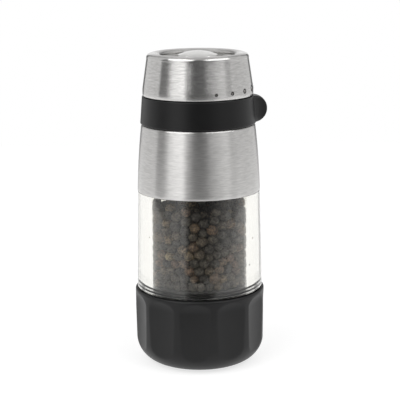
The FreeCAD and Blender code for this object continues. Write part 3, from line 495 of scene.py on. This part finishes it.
def make_cap():
    """The steel cap: a straight foot, a leaning wall, a tight corner and a rim rolled into the outlet."""
    low, crest = bottom_of("steel_cap"), top_of("steel_cap")
    low_r, bend, sheet = radius_of("steel_cap"), low + CAP_BEND, 0.6
    inner_top = (24.9 - sheet, crest - 3.6)
    corner, ridge, ridge_under = (23.3, crest - 0.45), (21.6, crest), (21.6, crest - sheet)
    mouth_r = 18.1
    outline = [(low_r - sheet, low + 0.15), (low_r - 0.4, low), (low_r - 0.15, low + 0.03)]
    outline += [(low_r, low + 0.25), (low_r, bend - 1.0), (low_r - 0.03, bend)]
    outline += [(low_r - CAP_SLOPE * (up - bend), up) for up in np.linspace(bend + 1, crest - 2.5, 12)]
    outline += arc_points(outline[-1], corner, 1.75, 14)
    outline += arc_points(corner, ridge, 5.0, 6)
    outline += arc_points(ridge, (mouth_r, crest - 1.4), 5.2, 12)
    outline += [(mouth_r - 0.02, crest - 1.8), (mouth_r + 0.1, crest - 2.0), (mouth_r + sheet, crest - 1.9)]
    outline += arc_points(outline[-1], ridge_under, -4.8, 8)
    outline += arc_points(ridge_under, inner_top, -2.9, 10)
    outline += [(low_r - sheet, bend)]
    stand_in(lathe("cap_shell", outline, MATERIALS["brushed_cap"]), "steel_cap", "head")


def make_marks():
    """Five dots, each a thin enamelled face inside a black rim, laid on the cap's own outer line. The rim's
    black is painted shadow for the gap round the dot, and the face's lighter tone is partly painted light
    caught at its centre.
    """
    low, low_r = bottom_of("steel_cap"), radius_of("steel_cap")
    bend = low + CAP_BEND
    rim, lift, root, around = 0.55, 0.03, -0.15, 40
    for part, material in (("rims", dot_shadow_rim()), ("faces", MATERIALS["dot_paint"])):
        points, faces = [], []
        for step, radius in enumerate((1.95, 1.6, 1.22, 0.92, 0.75)):
            middle = math.radians(-18.5 * step)
            height = low + 1.9 + radius
            if part == "rims":
                inner, outer = radius - rim, radius
                rings = [(inner, root), (inner, lift), (outer - 0.04, lift), (outer, lift - 0.03)]
            else:
                outer = radius - rim - 0.01
                rings = [(reach, lift * (1 - reach / outer) - 0.03) for reach in np.linspace(1e-4, outer, 6)]
            rings.append((outer, root))
            base = len(points)
            for reach, out in rings:
                for turn in range(around):
                    angle = 2 * math.pi * turn / around
                    z = height + reach * math.sin(angle)
                    r = low_r - max(z - bend, 0) * CAP_SLOPE + out
                    azimuth = middle + reach * math.cos(angle) / low_r
                    points.append((r * math.cos(azimuth) * MM, r * math.sin(azimuth) * MM, z * MM))
            for ring in range(len(rings) - 1 + (part == "rims")):
                here, there = base + ring * around, base + (ring + 1) % len(rings) * around
                for i in range(around):
                    after = (i + 1) % around
                    faces.append((here + i, here + after, there + after, there + i))
        stand_in(mesh_piece(f"mark_{part}", points, faces, material), "coarseness_marks", "head")


def make_dish():
    """The outlet trough: a curved wall with a flat flange that lies under the cap."""
    low, rim = bottom_of("outlet_dish"), top_of("outlet_dish")
    inner_foot, inner_top, outer_top, sheet = (13.4, low + 0.3), (18.1, rim - 2.4), (18.65, rim - 2.6), 0.4
    outline = [inner_foot] + arc_points(inner_foot, inner_top, 6, 14)
    outline += [(18.8, rim), (22.3, rim), (22.3, rim - sheet), (19.3, rim - sheet), outer_top]
    outline += arc_points(outer_top, (14.0, low), -5.5, 10)
    stand_in(lathe("dish_shell", outline, MATERIALS["dish_steel"]), "outlet_dish", "head")


def crown(half, rise):
    """Radius of an arc that rises by rise over half its width."""
    return (half * half + rise * rise) / (2 * rise)


def make_dome():
    """The polished dome: a shallow crown, a rounded shoulder and a short straight edge."""
    low, apex = bottom_of("centre_dome"), top_of("centre_dome")
    rim_r, bore_r, edge, sheet = radius_of("centre_dome"), 9.05, apex - 2.5, 0.7
    shoulder, under = (rim_r - 0.6, edge + 0.65), (bore_r - 0.15, edge + 0.2)
    outline = [(bore_r, low), (rim_r - 0.15, low), (rim_r, low + 0.2), (rim_r, edge)]
    outline += arc_points((rim_r, edge), shoulder, 0.7, 8)
    outline += arc_points(shoulder, (0, apex), crown(shoulder[0], apex - shoulder[1]), 24)
    outline += [(0, apex - sheet)]
    outline += arc_points((0, apex - sheet), under, -crown(under[0], apex - sheet - under[1]), 16)
    outline += [(bore_r, edge - 0.2)]
    stand_in(lathe("dome_cap", outline, MATERIALS["polished_dome"]), "centre_dome", "rotor")


def make_jar():
    """The thick clear jar: a slightly tapered wall over a straight bore, with a neck inside the skirt."""
    low, high = bottom_of("pepper_jar"), top_of("pepper_jar")
    bore_r, foot_r, shoulder_r, neck_r = 23.3, radius_of("pepper_jar"), 29.5, 26.85
    shoulder, chamfer, foot_chamfer = 85.0, 0.4, 0.5
    corners = [
        (bore_r + chamfer, low, 0.15),
        (foot_r - foot_chamfer, low, 0.25),
        (foot_r, low + foot_chamfer, 0.6),
        (shoulder_r, shoulder, 0.15),
        (neck_r, shoulder, 0),
        (neck_r, high - chamfer, 0.2),
        (neck_r - chamfer, high, 0.2),
        (bore_r, high, 0.2),
        (bore_r, low + chamfer, 0.2),
    ]
    jar = lathe("jar_wall", softened(corners, steps=4), MATERIALS["clear_acrylic"], sharp=60)
    stand_in(jar, "pepper_jar", "head")


def make_grip():
    """The fluted sleeve: at each height and azimuth the surface is the nearer of the body and the flute."""
    foot_r, sole, grip_r, waist, top = 18.9, 12.3, 31.45, 26.0, top_of("grip_sleeve")
    lip, lip_in, deck, wall, hole = 1.1, 29.9, 36.2, 3.0, 16.1
    flutes, depth, cut_r, end_r, flute_top = 11, 1.4, 60.0, 8.0, 35.3
    first_flute, flute_pitch = math.radians(1.5), 2 * math.pi / flutes
    blend = 0.22  # softness of the ridges between flutes
    steps = 600
    never = 99.0  # a radius that is never the nearer one
    arch = flute_top - math.sqrt(end_r**2 - (end_r - depth) ** 2)
    axis_r = grip_r - depth + cut_r
    sole_r, inside_r = foot_r + sole, foot_r + sole - wall
    body = [(foot_r, 0.0)] + arc_points((foot_r, 0), (sole_r, sole), sole, 26)
    body += [(sole_r + (grip_r - sole_r) * t, sole + (waist - sole) * t) for t in np.linspace(0.1, 1, 14)]
    body += [(grip_r, z) for z in np.linspace(waist + 1, top - lip, 20)]
    body += arc_points((grip_r, top - lip), (grip_r - lip, top), lip, 8)
    inner = [(lip_in + 0.15, top), (lip_in, top - 0.15), (lip_in, deck), (inside_r, deck), (inside_r, sole)]
    inner += arc_points((inside_r, sole), (foot_r, wall), -(sole - wall), 10)
    inner += [(hole, wall), (hole, 0.0)]
    count = len(body) + len(inner)
    points, faces = [], []
    for step in range(steps):
        angle = 2 * math.pi * step / steps
        off = (angle - first_flute + flute_pitch / 2) % flute_pitch - flute_pitch / 2
        c, s = math.cos(angle), math.sin(angle)
        for r, z in body:
            over = max(z - arch, 0.0)
            reach = cut_r
            if over > 0:
                reach -= end_r - math.sqrt(max(end_r**2 - over**2, 0.0)) if over < end_r else never
            inside = reach**2 - (axis_r * math.sin(off)) ** 2
            near = axis_r * math.cos(off) - math.sqrt(inside) if inside > 0 else never
            gap = max(blend - abs(r - near), 0.0) / blend
            r = min(r, near) - gap * gap * blend / 4
            points.append((r * c * MM, r * s * MM, z * MM))
        points += [(r * c * MM, r * s * MM, z * MM) for r, z in inner]
    for step in range(steps):
        here, there = step * count, ((step + 1) % steps) * count
        for i in range(count):
            after = (i + 1) % count
            faces.append((here + i, there + i, there + after, here + after))
    grip = mesh_piece("grip_shell", points, faces, MATERIALS["soft_grip"], sharp=50)
    stand_in(grip, "grip_sleeve", "base")


def make_setting_ring():
    """The ring with rounded edges, joined to its thumb tab, which is a disc with hollow flanks."""
    low, high = bottom_of("adjust_ring"), top_of("adjust_ring")
    low_r, high_r, bore_r = 27.75, 26.75, 23.1
    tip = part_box("adjust_ring")[1].x / MM
    tab_r, root, edge, middle = 6.35, 4.6, 1.5, (low + high) / 2
    corners = [(bore_r, low, 0.2), (low_r, low, 0.55), (high_r, high, 0.55), (bore_r, high, 0.2)]
    ring = lathe("setting_ring", softened(corners, steps=6), MATERIALS["setting_ring"], sharp=60)
    sunk_r, flank_r, flank, nose = 25.6, high_r + 0.75, root + 0.4, tip - 0.7
    plan = [(sunk_r, -(root + 2.2)), (flank_r, -flank)]
    plan += arc_points((flank_r, -flank), (nose, -edge), -11, 12)
    plan += arc_points((nose, -edge), (nose, edge), edge * 1.06, 10)
    plan += arc_points((nose, edge), (flank_r, flank), -11, 12)
    plan += [(sunk_r, root + 2.2)]
    rows, wide = 40, len(plan)
    points, faces = [], []
    for row in range(rows + 1):
        up = -tab_r * math.cos(math.pi * row / rows)
        half = math.sqrt(max(tab_r**2 - up**2, 0.0))
        limit = tip - tab_r + half
        thin = 1 - 0.35 * (abs(up) / tab_r) ** 6
        points += [(min(x, limit) * MM, y * thin * MM, (middle + up) * MM) for x, y in plan]
    for row in range(rows):
        here, there = row * wide, (row + 1) * wide
        faces += [(here + i, here + (i + 1) % wide, there + (i + 1) % wide, there + i) for i in range(wide)]
    faces.append(tuple(reversed(range(wide))))
    faces.append(tuple(rows * wide + i for i in range(wide)))
    tab = mesh_piece("tab_blank", points, faces, MATERIALS["setting_ring"])
    join = ring.modifiers.new("join", "BOOLEAN")
    join.operation = "UNION"
    join.solver = "EXACT"
    join.object = tab
    apply_modifiers(ring)
    bpy.data.objects.remove(tab)
    tidy_mesh(ring, 40)
    stand_in(ring, "adjust_ring", "setting")


# ---------------------------------------------------------------- peppercorns


def pour(count, wall, shaft, floor, seed):
    """Drops round corns into the ring-shaped chamber and lets them settle.  Returns places and radii."""
    random = np.random.default_rng(seed)
    radii = np.clip(random.normal(2.32, 0.17, count), 1.95, 2.75)
    angle = random.uniform(0, 2 * math.pi, count)
    room = 2.5  # from the walls to a corn's middle, at the start
    reach = np.sqrt(random.uniform((shaft + room) ** 2, (wall - room) ** 2, count))
    height = floor + room + np.linspace(0, 70, count)
    places = np.stack([reach * np.cos(angle), reach * np.sin(angle), height], 1)
    rounds, last_rounds, sink, neighbour = 420, 50, 0.14, 6.0
    for turn in range(rounds):
        if turn % 5 == 0:
            offset = places[:, None, :] - places[None, :, :]
            near = np.argwhere(np.triu((offset**2).sum(2) < neighbour**2, 1))
            first, second = near[:, 0], near[:, 1]
        places[:, 2] -= sink if turn < rounds - last_rounds else 0.0
        for _ in range(3):
            away = places[first] - places[second]
            length = np.sqrt((away**2).sum(1)) + 1e-9
            lap = radii[first] + radii[second] - length
            push = np.where(lap > 0, lap * 0.5, 0)[:, None] * away / length[:, None]
            move = np.zeros_like(places)
            touch = np.zeros(count)
            np.add.at(move, first, push)
            np.add.at(move, second, -push)
            np.add.at(touch, first, lap > 0)
            np.add.at(touch, second, lap > 0)
            places += move / np.maximum(touch * 0.45, 1)[:, None]
            flat = np.sqrt((places[:, :2] ** 2).sum(1)) + 1e-9
            kept = np.clip(flat, shaft + radii, wall - radii)
            places[:, :2] *= (kept / flat)[:, None]
            places[:, 2] = np.maximum(places[:, 2], floor + radii)
    return places, radii


def corn_blank(seed, divisions):
    """One wrinkled corn of unit radius: a dented ball with a net of ridges.  Returns points and faces."""
    shape = bmesh.new()
    bmesh.ops.create_icosphere(shape, subdivisions=divisions, radius=1)
    shift = Vector((seed * 7.3, seed * 3.1, seed * 5.7))
    for vertex in shape.verts:
        way = vertex.co.normalized()
        lump = noise.noise(way * 1.1 + shift) * 0.10
        net = 0.0
        for scale, weight in ((2.3, 0.62), (4.4, 0.38)):
            net += weight * (1 - abs(noise.noise(way * scale + shift)) * 3.2)
        vertex.co = way * (0.93 + lump + 0.075 * max(net, -0.6))
    points = np.array([v.co for v in shape.verts])
    faces = np.array([[v.index for v in f.verts] for f in shape.faces])
    shape.free()
    return points, faces


def make_peppercorns():
    """The jar's fill, in a few meshes: fine corns next to the wall and on top, coarser ones inside."""
    wall, shaft, heap_top, blank_count = 23.22, 3.7, 90.0, 9
    places, radii = pour(1015, wall, shaft, top_of("base_core"), 11)
    # The heap is a little lower in front of the middle than along the sides.
    dip = 7.5 * np.exp(-((places[:, 0] / 5.5) ** 2)) * (places[:, 1] < 4)
    keep = places[:, 2] < heap_top - dip
    places, radii = places[keep], radii[keep]
    random = np.random.default_rng(5)
    flat = np.sqrt((places[:, :2] ** 2).sum(1))
    outside = (flat > wall - 6.0) | (places[:, 2] > heap_top - 14)
    blanks = {
        fine: [corn_blank(seed, 4 if fine else 3) for seed in range(blank_count)] for fine in (True, False)
    }
    batches = []
    for fine, most in ((True, 120), (False, 480)):
        members = np.nonzero(outside == fine)[0]
        batches += [(fine, members[i : i + most]) for i in range(0, len(members), most)]
    for number, (fine, members) in enumerate(batches, start=1):
        points, faces, base = [], [], 0
        for member in members:
            blank_points, blank_faces = blanks[fine][int(random.integers(blank_count))]
            turn = np.array(Euler(random.uniform(0, 2 * math.pi, 3)).to_matrix())
            squeeze = random.uniform(0.93, 1.04, 3)
            grown = (blank_points * squeeze) @ turn.T * radii[member] * 1.04
            points.append((grown + places[member]) * MM)
            faces.append(blank_faces + base)
            base += len(blank_points)
        data = bpy.data.meshes.new(f"peppercorns_{number}")
        all_points, all_faces = np.concatenate(points), np.concatenate(faces)
        data.from_pydata(all_points.tolist(), [], all_faces.tolist())
        data.polygons.foreach_set("use_smooth", np.ones(len(all_faces), bool))
        data.materials.append(MATERIALS["peppercorn"])
        corns = bpy.data.objects.new(f"peppercorns_{number}", data)
        bpy.context.scene.collection.objects.link(corns)
        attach(corns, "head")


# ---------------------------------------------------------------- stage, light and camera

FRONT = math.radians(-92.8)  # azimuth of the camera, from +X


def toward(azimuth, elevation, distance):
    """A place seen from the mill, with its azimuth in degrees to the right of the camera."""
    turn = FRONT + math.radians(azimuth)
    lift = math.radians(elevation)
    level = math.cos(lift)
    return Vector((math.cos(turn) * level, math.sin(turn) * level, math.sin(lift))) * distance


def make_floor():
    """A sheet that ends a hand's length in front of the mill, so that the steel doesn't mirror it."""
    wide, front, back, blunt = 0.45, -0.17, 0.62, 0.15
    corners = [(wide, back), (-wide, back), (-wide, front), (wide, front)]
    spin = Matrix.Rotation(FRONT + math.pi / 2, 3, "Z")
    points, steps = [], 8
    for number, (x, y) in enumerate(corners):
        centre = Vector((x - math.copysign(blunt, x), y - math.copysign(blunt, y), 0))
        for step in range(steps + 1):
            angle = math.radians(90 * number + 90 * step / steps)
            place = spin @ (centre + Vector((math.cos(angle), math.sin(angle), 0)) * blunt)
            points.append((place.x, place.y, cad_low.z))
    data = bpy.data.meshes.new("floor")
    data.from_pydata(points, [], [tuple(range(len(points)))])
    data.materials.append(light_table())
    floor = bpy.data.objects.new("floor", data)
    bpy.context.scene.collection.objects.link(floor)


def area_light(name, azimuth, power):
    """A wide softbox above and beside the camera, aimed at the middle of the mill."""
    data = bpy.data.lights.new(name, "AREA")
    data.shape = "RECTANGLE"
    data.size, data.size_y = 1.1, 0.45
    data.energy = power
    lamp = bpy.data.objects.new(name, data)
    bpy.context.scene.collection.objects.link(lamp)
    aim = Vector((0, 0, 0.09))
    lamp.location = aim + toward(azimuth, 46, 1.2)
    lamp.rotation_euler = (aim - lamp.location).to_track_quat("-Z", "Y").to_euler()


def make_surroundings():
    """A pale studio: panels of different brightness round the mill, and a dark gap behind the camera.  The
    background itself is plain white."""
    world = bpy.data.worlds.new("studio")
    bpy.context.scene.world = world
    world.use_nodes = True
    world.node_tree.nodes.clear()
    nodes = Tree(world.node_tree)
    way = nodes.add("ShaderNodeTexCoord").outputs["Generated"]
    split = nodes.add("ShaderNodeSeparateXYZ", links={"Vector": way})
    azimuth = nodes.math("ARCTAN2", split.outputs["Y"], split.outputs["X"])
    turns = nodes.math("DIVIDE", nodes.math("SUBTRACT", azimuth, FRONT), 2 * math.pi)
    turned = nodes.math("FRACT", nodes.math("ADD", turns, 1.5))
    # Brightness by azimuth, in degrees to the right of the camera.
    bands = [
        (-180, 0.90),
        (-168, 0.90),
        (-164, 0.16),
        (-152, 0.16),
        (-148, 0.78),
        (-89, 0.72),
        (-86, 0.16),
        (-68, 0.20),
        (-56, 1.00),
        (-31, 1.22),
        (-22, 0.24),
        (-12, 0.09),
        (6, 0.13),
        (14, 0.14),
        (24, 0.23),
        (34, 0.36),
        (44, 0.52),
        (58, 0.68),
        (66, 0.42),
        (72, 0.38),
        (80, 0.66),
        (148, 0.72),
        (152, 0.16),
        (164, 0.16),
        (168, 0.90),
        (180, 0.90),
    ]
    around = nodes.ramp(turned, [((degrees + 180) / 360, value) for degrees, value in bands])
    lift = nodes.math("ADD", nodes.math("MULTIPLY", split.outputs["Z"], 0.5), 0.5)
    overhead = nodes.ramp(lift, [(0.0, 0.0), (0.80, 0.0), (0.93, 1.0), (1.0, 1.0)])
    mixed = nodes.add("ShaderNodeMix", links={"Factor": overhead}, data_type="RGBA")
    nodes.tree.links.new(around, mixed.inputs[6])
    mixed.inputs[7].default_value = (0.6, 0.6, 0.6, 1)
    lit = nodes.add("ShaderNodeBackground", links={"Color": mixed.outputs[2]})
    plain = nodes.add("ShaderNodeBackground", {"Color": (1, 1, 1, 1)})
    sight = nodes.add("ShaderNodeLightPath").outputs["Is Camera Ray"]
    choose = nodes.add("ShaderNodeMixShader", links={"Fac": sight})
    nodes.tree.links.new(lit.outputs["Background"], choose.inputs[1])
    nodes.tree.links.new(plain.outputs["Background"], choose.inputs[2])
    nodes.add("ShaderNodeOutputWorld", links={"Surface": choose.outputs["Shader"]})


def make_camera():
    """A long lens in front of the mill and a little above it, looking slightly down."""
    focal_px, image_px, shift_px = 1296.1, 400, 1.1
    distance, height, pitch, tip = 0.6152, 0.2119, 12.16, -0.55
    data = bpy.data.cameras.new("camera")
    data.sensor_width = 36
    data.lens = 36 * focal_px / image_px
    data.clip_start = 0.01
    data.shift_x = shift_px / image_px
    camera = bpy.data.objects.new("camera", data)
    bpy.context.scene.collection.objects.link(camera)
    camera.location = toward(0, 0, distance) + Vector((0, 0, height))
    turn = Matrix.Rotation(FRONT + math.pi / 2, 4, "Z")
    tilt = Matrix.Rotation(math.radians(90 - pitch), 4, "X")
    roll = Matrix.Rotation(math.radians(tip), 4, "Z")
    camera.matrix_world = Matrix.Translation(camera.location) @ turn @ tilt @ roll
    bpy.context.scene.camera = camera


make_skirt()
make_cap()
make_marks()
make_dish()
make_dome()
make_jar()
make_grip()
make_setting_ring()
make_peppercorns()

make_floor()
make_surroundings()
area_light("left_softbox", -46, 5.6)
area_light("right_softbox", 54, 4.8)
make_camera()
bpy.context.scene.view_settings.view_transform = "Standard"
